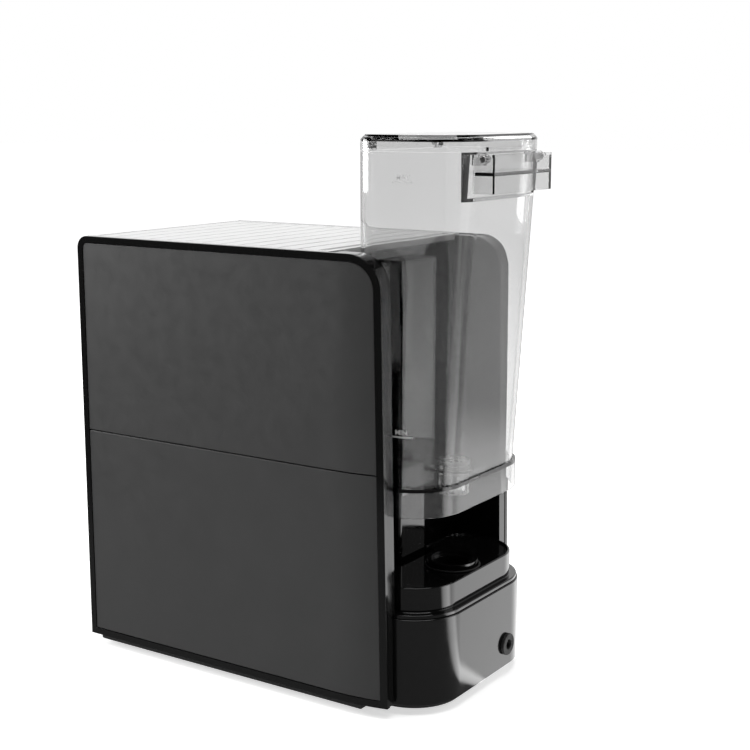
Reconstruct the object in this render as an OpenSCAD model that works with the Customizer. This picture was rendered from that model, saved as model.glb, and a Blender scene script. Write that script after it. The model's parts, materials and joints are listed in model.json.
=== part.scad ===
// Pod coffee machine with a lift-out rear water tank. Millimetres. Front is -Y, up is +Z, the origin is on the floor.

/* [Body] */
// Half of the widest outside width
half_w = 90; // [70:1:120]
// Height of the cup plate above the table
body_top = 316; // [250:1:360]
// Underside of the side panels
body_bot = 8; // [4:1:20]
// Front edge of the side panels
front_y = -150; // [-180:1:-120]
// Rear edge of the side panels at the top
rear_t = 115.5; // [90:0.5:140]
// Rear edge of the side panels at the bottom
rear_b = 120.5; // [90:0.5:140]
// Radius of the top rear corner, seen from the side
corner_r = 24; // [8:1:40]
// Radius of the top front corner
front_r = 9; // [4:1:40]
// Height of the seam between the upper and lower side panels
seam_z = 170; // [100:1:220]
// Gap at that seam
seam_gap = 0.8; // [0.4:0.1:2]
// Thickness of a side panel
panel_t = 2.4; // [1.5:0.1:4]
// Width of the glossy edge trim
trim_w = 5; // [2:0.5:10]
// How far the side panels sit below the trim
trim_proud = 0.4; // [0:0.1:1]
// Radius of the inward curve at the rear of the side panels
plan_r = 160; // [80:5:300]
// Where that curve begins
plan_y = 80; // [40:1:100]

/* [Tank niche] */
// Width of the body on each side of the niche
side_w = 16.5; // [12:0.5:30]
// Niche back wall
niche_y = 77; // [50:1:90]
// Wall of the niche liner
liner_t = 3; // [2:0.5:5]
// Half width of the guide column
column_hw = 18; // [8:1:30]
// Rear face of the guide column
column_y = 87.5; // [80:1:100]
// Top of the guide column
column_top = 227; // [150:1:260]
// Ledge around the tank pedestal
ledge_z = 71.5; // [50:1:90]
// Top of the tank pedestal
seat_z = 87.5; // [80:1:110]
// Height of the rim on the pedestal
rim_h = 1.5; // [0.5:0.5:3]
// Height of the collar around the valve socket
collar_h = 5; // [3:0.5:8]
// Rear of the base
base_rear = 149; // [130:1:170]
// Corner radius of the base
base_r = 38; // [10:1:50]

/* [Water tank] */
// How far the tank is drawn lifted off its seat
lift = 66; // [0:1:190]
// Gap between the tank and the niche wall
tank_gap = 6; // [4.5:0.5:15]
// Tank front wall
tank_front = 80; // [78:0.5:100]
// Rear of the tank at its top
tank_rear_top = 160; // [140:1:180]
// Rear of the tank at its floor
tank_rear_bot = 145; // [130:0.5:170]
// Tank wall
tank_t = 2.2; // [1.5:0.1:4]
// Corner radius of the tank
tank_r = 34; // [10:1:45]
// Radius of the tank's front corners
tank_fr = 16; // [4:1:25]
// Rim of the tank when seated
tank_rim = 314.5; // [300:0.5:340]
// Gap between the tank floor and the pedestal rim when seated
seat_gap = 0.8; // [0.4:0.1:3]
// How far the skirt hangs below the tank floor
skirt_h = 17.3; // [10:0.1:30]
// Clearance between the skirt and the pedestal
skirt_gap = 0.7; // [0.4:0.1:2]
// Height of the lid
lid_h = 11; // [6:0.5:20]
// Chamfer on the lid
lid_c = 3; // [1:0.5:5]
// Distance of the level marks from the tank front
mark_off = 32; // [20:0.5:45]
// Length of a level mark
mark_len = 15; // [8:0.5:25]
// Half width of the flip handle
handle_hw = 40; // [25:1:60]
// Rear face of the flip handle
handle_rear = 172; // [165:1:195]
// Height of the flip handle
handle_h = 25; // [15:1:40]
// Radial running fit of every pin, rod and stem
run_fit = 0.06; // [0.02:0.01:0.1]
// Gap between bodies that slide past each other
slide_gap = 0.5; // [0.3:0.1:2]

/* [Front] */
// Half width of the cup bay
bay_hw = 60; // [45:1:70]
// Back wall of the cup bay
bay_y = -82; // [-110:1:-60]
// Ceiling of the cup bay
bay_top = 168; // [140:1:200]
// Front of the drip tray
tray_front = -172; // [-200:1:-160]
// Top of the drip tray rim
tray_top = 26; // [18:1:40]
// Half width of the pod drawer
drawer_hw = 34; // [25:1:45]
// Underside of the pod drawer
drawer_z = 200; // [185:1:220]
// Height of the pod drawer
drawer_h = 52; // [40:1:60]
// Radius of the pod cup
pod_r = 21; // [15:0.5:26]
// Height of the lever pivot
lever_z = 266; // [240:1:290]
// Radius of a push button
button_r = 7.5; // [4:0.5:12]
// Travel of a push button
button_travel = 1.5; // [0.5:0.1:4]

/* [Hidden] */
e = 0.01;
$fn = 72;
niche_hw = half_w - side_w;                  // half width between the niche walls
tank_hw = niche_hw - tank_gap;               // half width of the tank
skin = panel_t + trim_proud + 0.4;          // everything behind the side panels starts here
floor_z = seat_z + rim_h + seat_gap;         // underside of the tank floor when seated
skirt_hw = tank_hw + 3.5;
skirt_rear = tank_rear_bot + 1.5;
skirt_r = tank_r + 2;
ped_hw = skirt_hw - tank_t - skirt_gap;
ped_rear = skirt_rear - tank_t - skirt_gap;
ped_r = skirt_r - tank_t - skirt_gap;
ped_front = tank_front + tank_t + skirt_gap;
ped_fr = tank_fr - tank_t - skirt_gap;
chan_hw = column_hw + 2.5;                   // clear half width of the tank's front channel
chan_y = column_y + 2;                       // clear depth of that channel
chan_top = column_top + 10;
tilt = atan((tank_rear_top - tank_rear_bot) / (tank_rim - floor_z));
valve_y = 120.5;
valve_r = 10;
collar_r = 18;
collar_gap = 0.8;                            // between the collar and its pocket in the tank floor
dome_h = collar_h - rim_h - seat_gap + collar_gap;
stem_r = 3;
stem_travel = 4;
pin_r = 1.5;
lid_axis_y = 77.5;
lid_axis_z = tank_rim + 4.5;
hinge_y = 163;                               // flip handle pins
hinge_z = tank_rim - 4.5;
hinge_r = 2;
lug_hw = handle_hw - 2.5;                    // outer face of the tank's handle lugs
lug_r = hinge_r + 0.9;
floor_t = 3;
plate_bot = 4;
plate_t = 3;
base_hw = niche_hw + 1;
cord_x = -(base_hw - base_r - 6.5);
cord_z = 24;
chassis_hw = half_w - skin;
deck_z = 180;
pod_y = -112;                                // axis of the pod, piston and spout
piston_r = 24;
piston_z = drawer_z + drawer_h + 1.2;
rod_r = 6;
lever_y = front_y + 12;
bar_y = front_y - 13;
ear_x = 42;                                  // lid ears
recess_y = tank_rear_top - 6;                // back of the handle recess
recess_hw = handle_hw + 6;
bar_z = 184;
arm_x = 51;
lever_pin_r = 2.5;
plate_y = front_y + front_r - 2;             // front edge of the cup plate
plate_rear = niche_y - liner_t - 0.3;        // rear edge of the cup plate
rib_pitch = 16.6;
rib_hw = rib_pitch / 2 - 0.6;
rib_n = floor((plate_rear - plate_y - 8) / rib_pitch);
fascia_t = 3;
btn = [-26, 0, 26];
button_z = piston_z + 38.8;
panel_h = 14;                                // half height of the control panel
bin_hw = 50;
bin_z = 34;
bin_top = 128;
bin_rear = 4;
rail_z = bin_z - slide_gap - 3;
drawer_rear = front_y + 74;
bulk_y = drawer_rear + 2;                    // front of the bulkhead behind the drawer
bulk_t = 4;
board_x = chassis_hw - 28.8;                 // face of the control board
board_rear = 30;
chip = 8;
meter_x = chassis_hw - 18.8;                 // flow meter
meter_y = 56;
meter_r = 11;
pump_x = 44;                                 // half length of the pump
pump_y = 45;
pump_z = 47;
pump_r = 17;
low_z = 20;                                  // underside of the pump deck
heat_hw = 38;                                // thermoblock
heat_port = 26;
heat_rear = 34;
tray_rear = bay_y - 0.8;
tray_hw = bay_hw - 1.2;
// Draw one part, or all of them

black = [0.05, 0.05, 0.055];
dark = [0.2, 0.2, 0.21];
pale = [0.86, 0.86, 0.85];
steel = [0.7, 0.7, 0.72];
smoke = [0.6, 0.6, 0.62, 0.5];
rubber = [0.08, 0.08, 0.08];

// ---- helpers ----
// Rectangle with a radius at each corner: (x0,y0), (x1,y0), (x1,y1), (x0,y1).
module rr(x0, x1, y0, y1, a = 0, b = 0, c = 0, d = 0) {
  difference() {
    translate([x0, y0]) square([x1 - x0, y1 - y0]);
    for (q = [[x0, y0, 1, 1, a], [x1, y0, -1, 1, b], [x1, y1, -1, -1, c], [x0, y1, 1, -1, d]])
      if (q[4] > 0) translate([q[0], q[1]]) scale_sign(q[2], q[3]) difference() {
        translate([-1, -1]) square(q[4] + 1);
        translate([q[4], q[4]]) circle(q[4]);
      }
  }
}
module scale_sign(sx, sy) mirror([sx < 0 ? 1 : 0, 0]) mirror([0, sy < 0 ? 1 : 0]) children();
module slab(z0, z1) translate([0, 0, z0]) linear_extrude(z1 - z0) children();
// Extrudes a (Y,Z) profile along X.
module along_x(x0, x1) translate([x0, 0, 0]) rotate([90, 0, 90]) linear_extrude(x1 - x0) children();
module box(x0, x1, y0, y1, z0, z1) translate([x0, y0, z0]) cube([x1 - x0, y1 - y0, z1 - z0]);
module rod_x(x0, x1, y, z, r) translate([x0, y, z]) rotate([0, 90, 0]) cylinder(h = x1 - x0, r = r);
module rod_y(y0, y1, x, z, r) translate([x, y0, z]) rotate([-90, 0, 0]) cylinder(h = y1 - y0, r = r);
module rod_z(z0, z1, x, y, r) translate([x, y, z0]) cylinder(h = z1 - z0, r = r);
module flip() mirror([1, 0, 0]) children();

// Outside of the body seen from above, inset by i.
module plan(i) {
  translate([-half_w + i, -220]) square([2 * (half_w - i), 220 + plan_y]);
  intersection() {
    translate([plan_r - half_w, plan_y]) circle(plan_r - i, $fn = 180);
    translate([-(plan_r - half_w), plan_y]) circle(plan_r - i, $fn = 180);
    translate([-half_w, plan_y - e]) square([2 * half_w, 90]);
  }
}
// Side of the body seen from the side, inset by i.
module profile(i) {
  polygon([[front_y + i, body_bot + i], [rear_b - i, body_bot + i], [rear_t - i, body_top - corner_r],
    [rear_t - corner_r, body_top - i], [front_y + front_r, body_top - i], [front_y + i, body_top - front_r]]);
  translate([rear_t - corner_r, body_top - corner_r]) circle(corner_r - i);
  if (front_r > i) translate([front_y + front_r, body_top - front_r]) circle(front_r - i);
}
// The +X half of a shell that follows the plan, between insets i and j.
module side_shell(i, j) {
  intersection() {
    slab(0, body_top + 5) difference() { plan(i); plan(j); }
    box(40, half_w + 5, -220, 160, 0, body_top + 5);
  }
}
// Slab with a chamfered top edge.
module chamfer_slab(x0, x1, y0, y1, ra, rb, z0, z1, c) {
  slab(z0, z1 - c + e) rr(x0, x1, y0, y1, ra, ra, rb, rb);
  for (q = [[x0 + ra, y0 + ra, ra], [x1 - ra, y0 + ra, ra], [x1 - rb, y1 - rb, rb], [x0 + rb, y1 - rb, rb]])
    translate([q[0], q[1], z1 - c]) cylinder(h = c, r1 = q[2], r2 = q[2] - c);
  along_x(x0 + rb, x1 - rb) polygon([[y0, z1 - c], [y1, z1 - c], [y1 - c, z1], [y0 + c, z1]]);
  along_x(x0 + ra, x1 - ra) polygon([[y0, z1 - c], [y1 - rb, z1 - c], [y1 - rb, z1], [y0 + c, z1]]);
  translate([0, y1 - rb, 0]) rotate([90, 0, 0]) linear_extrude(y1 - rb - y0 - ra)
    polygon([[x0, z1 - c], [x1, z1 - c], [x1 - c, z1], [x0 + c, z1]]);
}

// ---- body ----
module panel(z0, z1) {
  intersection() {
    side_shell(trim_proud, trim_proud + panel_t);
    along_x(40, half_w + 5) intersection() {
      profile(trim_w + 0.2);
      translate([-200, z0]) square([400, z1 - z0]);
    }
  }
}
module side_panel_upper_right() color(dark) panel(seam_z + seam_gap / 2, body_top);
module side_panel_lower_right() color(dark) panel(0, seam_z - seam_gap / 2);
module side_panel_upper_left() flip() side_panel_upper_right();
module side_panel_lower_left() flip() side_panel_lower_right();

module edge_trim_right() color(black) {
  intersection() {
    side_shell(0, trim_proud + panel_t);
    along_x(40, half_w + 5) difference() { profile(0); profile(trim_w); }
  }
  // Backing frame that both side panels lie on.
  intersection() {
    side_shell(trim_proud + panel_t, skin);
    along_x(40, half_w + 5) difference() { profile(0); profile(trim_w + 4); }
  }
}
module edge_trim_left() flip() edge_trim_right();

module base_plate() color(dark) {
  difference() {
    slab(plate_bot, plate_bot + plate_t) {
      rr(-half_w + 3.5, half_w - 3.5, front_y + 4, plan_y + 20, 6, 6, 0, 0);
      rr(-base_hw + 4, base_hw - 4, plan_y, base_rear - 4, 0, 0, base_r - 4, base_r - 4);
    }
    for (p = feet) rod_z(plate_bot - 1, plate_bot + plate_t + 1, p[0], p[1], 4);
    for (p = screws) rod_z(plate_bot - 1, plate_bot + plate_t + 1, p[0], p[1], 2);
  }
  // Posts that the chassis stands on.
  for (x = [-1, 1] * (half_w - 30), y = [pump_y - 25, pump_y + 15]) rod_z(plate_bot + plate_t, low_z, x, y, 5);
}
foot_x = half_w - 22;
screw_x = half_w - 16;
feet = [[-foot_x, front_y + 18], [foot_x, front_y + 18], [-foot_x, niche_y - 7], [foot_x, niche_y - 7], [0, base_rear - 17]];
screws = [[-screw_x, -60], [screw_x, -60], [-screw_x, 20], [screw_x, 20]];
module rubber_feet() color(rubber) for (p = feet) {
  rod_z(0, plate_bot, p[0], p[1], 9);
  rod_z(plate_bot - e, plate_bot + plate_t + 1.5, p[0], p[1], 4);
}
module base_screws() color(steel) for (p = screws) difference() {
  union() {
    rod_z(plate_bot - 1.4, plate_bot, p[0], p[1], 3.5);
    rod_z(plate_bot - e, plate_bot + plate_t + 5, p[0], p[1], 2);
  }
  rod_z(plate_bot - 2, plate_bot - 0.6, p[0], p[1], 1.6, $fn = 6);
}

// Rear of the base, a shell that the tank seat closes.
module base_shell() color(dark) {
  difference() {
    slab(plate_bot + plate_t, ledge_z - 3) rr(-base_hw, base_hw, niche_y, base_rear, 0, 0, base_r, base_r);
    slab(plate_bot + plate_t - 1, ledge_z) rr(-base_hw + 2.5, base_hw - 2.5, niche_y - 1, base_rear - 2.5, 0, 0, base_r - 2.5, base_r - 2.5);
    rod_y(base_rear - 8, base_rear + 5, cord_x, cord_z, 6);
  }
}
module cord_gland() color(rubber) difference() {
  union() {
    rod_y(base_rear - 2.5, base_rear, cord_x, cord_z, 6);
    rod_y(base_rear, base_rear + 2.5, cord_x, cord_z, 8);
    rod_y(base_rear - 4.5, base_rear - 2.5, cord_x, cord_z, 8);
  }
  rod_y(base_rear - 6, base_rear + 6, cord_x, cord_z, 3.6);
}

module chassis_wall_right() color(dark) difference() {
  box(chassis_hw - 3, chassis_hw, front_y + 12, plan_y - 6, plate_bot + plate_t, body_top - 12);
  // Lightening windows.
  for (k = [0:3], z = [body_bot + 32, deck_z + 20]) along_x(0, half_w) rr(front_y + 22 + k * 48, front_y + 54 + k * 48, z, z + 80, 8, 8, 8, 8);
}
module chassis_wall_left() flip() chassis_wall_right();
// Upper deck, pump deck, the wall between them and the rails of the used pod bin.
module chassis_deck() color(dark) {
  inner = chassis_hw - 3;
  difference() {
    union() {
      box(-inner, inner, bay_y + 22, niche_y - liner_t, deck_z, deck_z + 3);
      box(-inner, inner, bin_rear + 10, niche_y - liner_t, low_z, low_z + 3);
      box(-inner, inner, bin_rear + 4, bin_rear + 7, low_z, deck_z + e);
      box(-inner, inner, bin_rear + 4, bin_rear + 10 + e, low_z, low_z + 3);
    }
    rod_z(deck_z - 5, deck_z + 9, -pump_x - 8, niche_y - 11, 5);
  }
  for (s = [-1, 1]) box(s > 0 ? bin_hw - 6 : -inner, s > 0 ? inner : -bin_hw + 6, bay_y + 4, bin_rear + 4.5, rail_z, rail_z + 3);
}

// Niche: back wall, two side walls with a rounded top rear corner, guide column.
module niche_liner() color(black) {
  intersection() {
    slab(ledge_z, body_top - 0.5) difference() {
      translate([-niche_hw - liner_t, niche_y - liner_t]) square([2 * (niche_hw + liner_t), 60]);
      translate([-niche_hw, niche_y]) square([2 * niche_hw, 60]);
    }
    along_x(-half_w, half_w) profile(0.5);
    union() {
      box(-half_w, half_w, niche_y + e, 200, 0, body_top);
      box(-half_w, half_w, 0, 200, 0, body_top - 4);
    }
  }
  slab(ledge_z, column_top) rr(-column_hw, column_hw, niche_y - e, column_y, 0, 0, 3, 3);
}
// Closes the space between the niche liner and a side panel.
module rear_flange_right() color(dark) {
  intersection() {
    slab(body_bot, body_top) difference() {
      plan(skin);
      translate([-niche_hw - liner_t, -220]) square([2 * (niche_hw + liner_t), 400]);
    }
    box(niche_hw - 5, half_w, niche_y, 140, 0, body_top);
    along_x(0, half_w) difference() { profile(0.5); profile(6.5); }
  }
}
module rear_flange_left() flip() rear_flange_right();

module tank_seat() color(black) {
  difference() {
    union() {
      slab(ledge_z - 3, ledge_z) rr(-base_hw + 1, base_hw - 1, niche_y, base_rear - 1, 0, 0, base_r - 1, base_r - 1);
      slab(ledge_z - e, seat_z) rr(-ped_hw, ped_hw, ped_front, ped_rear, ped_fr, ped_fr, ped_r, ped_r);
      slab(seat_z - e, seat_z + rim_h) difference() {
        rr(-ped_hw, ped_hw, ped_front, ped_rear, ped_fr, ped_fr, ped_r, ped_r);
        rr(-ped_hw + 2, ped_hw - 2, ped_front + 2, ped_rear - 2, ped_fr - 2, ped_fr - 2, ped_r - 2, ped_r - 2);
      }
    }
    // Hollow underside and the notch that the tank's channel walls come down in.
    slab(ledge_z - 4, seat_z - 3) rr(-ped_hw + 3, ped_hw - 3, chan_y + tank_t + skirt_gap + 3, ped_rear - 3, 4, 4, ped_r - 3, ped_r - 3);
    box(-chan_hw - tank_t - skirt_gap, chan_hw + tank_t + skirt_gap, niche_y - 1, chan_y + tank_t + skirt_gap, ledge_z - 0.0, seat_z + 5);
    rod_z(ledge_z, seat_z + 5, 0, valve_y, socket_r);
  }
}
socket_r = 14;
valve_bot = floor_z - 14.5;                  // underside of the seated valve
socket_floor = valve_bot - 6;
module valve_socket() color(black) {
  difference() {
    union() {
      rod_z(socket_floor - 3, seat_z, 0, valve_y, socket_r);
      rod_z(seat_z - e, seat_z + collar_h, 0, valve_y, collar_r);
      rod_z(socket_floor - 12, socket_floor - 2, 0, valve_y, 5);
    }
    rod_z(socket_floor, seat_z + collar_h + 1, 0, valve_y, valve_r + 1.5);
    rod_z(seat_z + collar_h - 2, seat_z + collar_h + 1, 0, valve_y, collar_r - 2.5);
    rod_z(socket_floor - 15, socket_floor + 1, 0, valve_y, 2);
  }
  // Bridge with the pin that opens the tank valve.
  box(-valve_r - 1.6, valve_r + 1.6, valve_y + 2.5, valve_y + 5, socket_floor - e, socket_floor + 2.5);
  box(-1.5, 1.5, valve_y - 0.4, valve_y + 4, socket_floor + 0.5, socket_floor + 2.5);
  rod_z(socket_floor + 0.5, valve_bot + 0.5, 0, valve_y, 1.2);
}
module seat_seal() color(rubber) translate([0, valve_y, seat_z]) rotate_extrude()
  translate([collar_r + 1.4, 0.7]) circle(0.7, $fn = 24);

module cup_plate() color(pale) {
  union() {
    union() {
      box(-half_w + skin + 1, half_w - skin - 1, plate_y, plate_rear, body_top - 4, body_top - 1);
      // Wide flat ribs across the width, with narrow grooves between them.
      for (k = [0:rib_n - 1]) along_x(-half_w + skin + 7.5, half_w - skin - 7.5)
        polygon([[rib_y(k) - rib_hw, body_top - 1 - e], [rib_y(k) + rib_hw, body_top - 1 - e], [rib_y(k) + rib_hw - 0.4, body_top - 0.1], [rib_y(k) - rib_hw + 0.4, body_top - 0.1]]);
      // Raised border.
      difference() {
        box(-half_w + skin + 1, half_w - skin - 1, plate_y, plate_rear, body_top - 1 - e, body_top);
        box(-half_w + skin + 6, half_w - skin - 6, plate_y + 5, plate_rear - 4.7, body_top - 1, body_top + 1);
      }
    }
  }
  // Legs down to the chassis walls.
  for (s = [-1, 1], y = [plate_y + 43, plate_y + 113, plate_y + 183]) box(s > 0 ? chassis_hw - 3 : -chassis_hw, s > 0 ? chassis_hw : -chassis_hw + 3, y, y + 14, body_top - 12, body_top - 4 + e);
}
function rib_y(k) = plate_y + 6 + (k + 0.5) * rib_pitch;

// ---- front ----
module fascia_plan(z0, z1) box(-half_w + skin, half_w - skin, front_y + 1, front_y + 1 + fascia_t, z0, z1);
module front_fascia() color(black) {
  difference() {
    union() {
      intersection() {
        along_x(-half_w + skin, half_w - skin) difference() { profile(1); profile(1 + fascia_t); }
        box(-half_w, half_w, front_y, plate_y - 0.3, bay_top + 0.5, body_top);
      }
      // Ceiling edge of the bay.
      for (s = [-1, 1]) box(s > 0 ? drawer_hw + 6 : -half_w + skin, s > 0 ? half_w - skin : -drawer_hw - 6, front_y + 1, front_y + 12, bay_top + 0.5, bay_top + 3);
    }
    box(-drawer_hw - slide_gap - 2, drawer_hw + slide_gap + 2, front_y - 5, front_y + 10, drawer_z - slide_gap - 2, drawer_z + drawer_h + slide_gap + 2);
    box(-42, 42, front_y - 5, front_y + 10, button_z - panel_h, button_z + panel_h);
    // Slots for the lever arms.
    for (s = [-1, 1]) box(s * arm_x - 4.5, s * arm_x + 4.5, front_y - 5, front_y + 20, lever_z - 23, lever_z + 18);
  }
}
module control_panel() color(black) {
  difference() {
    union() {
      box(-42, 42, front_y + 1, front_y + 4, button_z - panel_h, button_z + panel_h);
      box(-44, 44, front_y + 4, front_y + 6, button_z - panel_h - 0.3, button_z + panel_h + 0.3);
      for (x = btn) rod_y(front_y + 4, front_y + 12, x, button_z, button_r + 2.5);
    }
    for (x = btn) {
      rod_y(front_y, front_y + 10, x, button_z, button_r + run_fit);
      rod_y(front_y, front_y + 14, x, button_z, 2.5);
    }
    box(-16, 16, front_y, front_y + 3, button_z - 12.5, button_z - 10.5);
  }
}
module indicator_lens() color(pale) box(-16, 16, front_y + 0.8, front_y + 3, button_z - 12.5, button_z - 10.5);
module button(x) color(steel) {
  rod_y(front_y - 1.2, front_y + 10 - button_travel - 0.4, x, button_z, button_r);
  rod_y(front_y + 5, front_y + 12, x, button_z, 2.5 - run_fit);
}
module button_power() button(btn[1]);
module button_short() button(btn[0]);
module button_long() button(btn[2]);

module lower_fascia() color(black) {
  difference() {
    box(-half_w + skin, half_w - skin, front_y + 1, front_y + 1 + fascia_t, plate_bot + plate_t, bay_top);
    box(-bay_hw, bay_hw, front_y - 1, front_y + 8, plate_bot, bay_top + 1);
  }
  for (s = [-1, 1]) box(s > 0 ? chassis_hw - 6 : -chassis_hw, s > 0 ? chassis_hw : -chassis_hw + 6, front_y + 1 + fascia_t - e, front_y + 12, plate_bot + plate_t, bay_top);
}
module bay_liner() color(black) {
  difference() {
    union() {
      box(-bay_hw - 2, bay_hw + 2, front_y + 1 + fascia_t, bay_y + 2, plate_bot + plate_t, bay_top);
      box(-bay_hw - 2, bay_hw + 2, bay_y, bay_y + 22 + e, bay_top - 2, bay_top);
    }
    box(-bay_hw, bay_hw, front_y - 2, bay_y, plate_bot, bay_top - 2);
    // Opening for the used pod bin and for the spout.
    box(-bin_hw - slide_gap, bin_hw + slide_gap, bay_y - 1, bay_y + 4, bin_z - slide_gap - 1, bin_top + slide_gap);
    rod_z(bay_top - 4, bay_top + 1, 0, pod_y, 15);
  }
}
module spout() color(black) {
  difference() {
    union() {
      rod_z(bay_top - 14, bay_top + 5, 0, pod_y, 15);
      rod_z(bay_top + 0, bay_top + 3, 0, pod_y, 20);
      for (s = [-1, 1]) rod_z(bay_top - 24, bay_top - 13, s * 8, pod_y, 5);
    }
    rod_z(bay_top - 10, bay_top + 8, 0, pod_y, 12);
    for (s = [-1, 1]) rod_z(bay_top - 26, bay_top - 9, s * 8, pod_y, 3);
  }
}

// Housing for the drawer and the piston.
module brew_housing() color(dark) {
  difference() {
    union() {
      box(-drawer_hw - 6, drawer_hw + 6, front_y + 4, bulk_y, bay_top, piston_z + 24);
      rod_z(piston_z + 23, piston_z + 42, 0, pod_y, rod_r + 6);
      for (s = [-1, 1]) rod_x(s > 0 ? drawer_hw + 5 : -arm_x + 4.5, s > 0 ? arm_x - 4.5 : -drawer_hw - 5, lever_y, lever_z, 6.5);
    }
    box(-drawer_hw - slide_gap, drawer_hw + slide_gap, front_y - 5, bulk_y + 1, drawer_z - slide_gap, drawer_z + drawer_h + slide_gap);
    // Piston chamber, funnel and outlet.
    rod_z(drawer_z, piston_z + 20.6, 0, pod_y, piston_r + slide_gap);
    rod_z(bay_top - 1, bay_top + 5.02, 0, pod_y, 20.02);
    rod_z(bay_top - 1, drawer_z, 0, pod_y, 12);
    rod_z(piston_z + 15, piston_z + 50, 0, pod_y, rod_r + run_fit);
    lever_pins();
  }
}
// Wall that closes the housing and joins it to the chassis walls.
module brew_bulkhead() color(dark) box(-chassis_hw + 3, chassis_hw - 3, bulk_y, bulk_y + bulk_t, deck_z + 4, piston_z + 24);
module lever_pins() color(steel) for (s = [-1, 1]) rod_x(s > 0 ? drawer_hw + 2 : -arm_x - 4, s > 0 ? arm_x + 4 : -drawer_hw - 2, lever_y, lever_z, lever_pin_r);
module brew_lever() color(steel) for (s = [-1, 1]) difference() {
  union() {
    rod_x(s * arm_x - 3, s * arm_x + 3, lever_y, lever_z, 6.5);
    along_x(s * arm_x - 3, s * arm_x + 3) polygon([[lever_y - 2, lever_z + 6.2], [lever_y - 6.4, lever_z + 1], [front_y - 5, lever_z - 14],
      [bar_y - 3, bar_z + 4], [bar_y - 2, bar_z - 7], [bar_y + 6, bar_z - 7], [bar_y + 7, bar_z + 2], [front_y + 0, lever_z - 20], [lever_y + 4, lever_z - 5]]);
  }
  rod_x(-80, 80, lever_y, lever_z, lever_pin_r + run_fit);
}
module lever_grip() color(black) {
  along_x(-arm_x + 3, arm_x - 3) rr(bar_y - 6, bar_y + 6, bar_z - 7, bar_z + 7, 5, 5, 5, 5);
}
module brew_piston() color(steel) {
  difference() {
    union() {
      rod_z(piston_z, piston_z + 6, 0, pod_y, piston_r - 0.6);
      rod_z(piston_z + 5, piston_z + 41, 0, pod_y, rod_r);
    }
    rod_z(piston_z - 1, piston_z + 43, 0, pod_y, 1.5);
    rod_z(piston_z - 1, piston_z + 2, 0, pod_y, 8);
  }
}
module piercing_needle() color(steel) difference() {
  union() {
    rod_z(piston_z - 0.5, piston_z + 2, 0, pod_y, 8);
    for (a = [0, 120, 240]) translate([0, pod_y, 0]) rotate([0, 0, a]) translate([5, 0, piston_z - 5]) cylinder(h = 5, r1 = 0.3, r2 = 1.4);
  }
  rod_z(piston_z - 2, piston_z + 4, 0, pod_y, 1.5);
}
module pod_drawer() color(black) {
  difference() {
    union() {
      box(-drawer_hw, drawer_hw, front_y + 2, drawer_rear, drawer_z, drawer_z + drawer_h - 0.2);
      along_x(-drawer_hw - 1.8, drawer_hw + 1.8) rr(front_y - 4, front_y + 3.5, drawer_z - 1.8, drawer_z + drawer_h + 1.8, 2, 0, 0, 2);
    }
    rod_z(drawer_z + 3, drawer_z + drawer_h + 2, 0, pod_y, pod_r + 2);
    rod_z(drawer_z - 1, drawer_z + 5, 0, pod_y, 10);
    for (s = [-1, 1]) box(s * (drawer_hw - 5) - 3, s * (drawer_hw - 5) + 3, front_y + 8, drawer_rear - 3, drawer_z + 3, drawer_z + drawer_h + 1);
    // Finger dish in the drawer front.
    rod_x(-16, 16, front_y - 10, drawer_z + drawer_h - 12, 9);
  }
}
module pod_cup() color(steel) difference() {
  union() {
    rod_z(drawer_z + 3, drawer_z + drawer_h - 0.2, 0, pod_y, pod_r + 2);
  }
  translate([0, pod_y, drawer_z + 5]) cylinder(h = drawer_h - 8, r1 = pod_r - 5, r2 = pod_r);
  rod_z(drawer_z + drawer_h - 3.1, drawer_z + drawer_h + 1, 0, pod_y, pod_r + 1);
  rod_z(drawer_z + 1, drawer_z + 8, 0, pod_y, 3.5);
}

module drip_tray() color(black) {
  difference() {
    slab(plate_bot + plate_t + 1.5, tray_top) rr(-tray_hw, tray_hw, tray_front, tray_rear, 20, 20, 0, 0);
    slab(plate_bot + plate_t + 4, tray_top + 1) rr(-tray_hw + 2.5, tray_hw - 2.5, tray_front + 2.5, tray_rear - 2.5, 17.5, 17.5, 0, 0);
  }
  // Ledges that carry the grid.
  for (s = [-1, 1]) box(s > 0 ? tray_hw - 6 : -tray_hw + 2, s > 0 ? tray_hw - 2 : -tray_hw + 6, tray_front + 22, tray_rear - 12, plate_bot + plate_t + 3.9, tray_top - 4);
}
module drip_grid() color(steel) difference() {
  slab(tray_top - 3.6, tray_top - 0.6) rr(-tray_hw + 3.1, tray_hw - 3.1, tray_front + 3.1, tray_rear - 3.1, 16.9, 16.9, 0, 0);
  for (k = [0:12]) translate([-48 + k * 8, 0, 0]) slab(tray_top - 6, tray_top + 2)
    rr(-2, 2, tray_front + 16 + 3 * max(0, abs(k - 6) - 4), tray_rear - 10, 1.9, 1.9, 1.9, 1.9);
}
module used_pod_bin() color(dark) {
  difference() {
    box(-bin_hw, bin_hw, bay_y + 0.4, bin_rear, bin_z, bin_top);
    box(-bin_hw + 2.5, bin_hw - 2.5, bay_y + 4, bin_rear - 2.5, bin_z + 2.5, bin_top + 1);
    rod_y(bay_y - 3, bay_y + 8, 0, bin_top, 16);
  }
}

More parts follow.
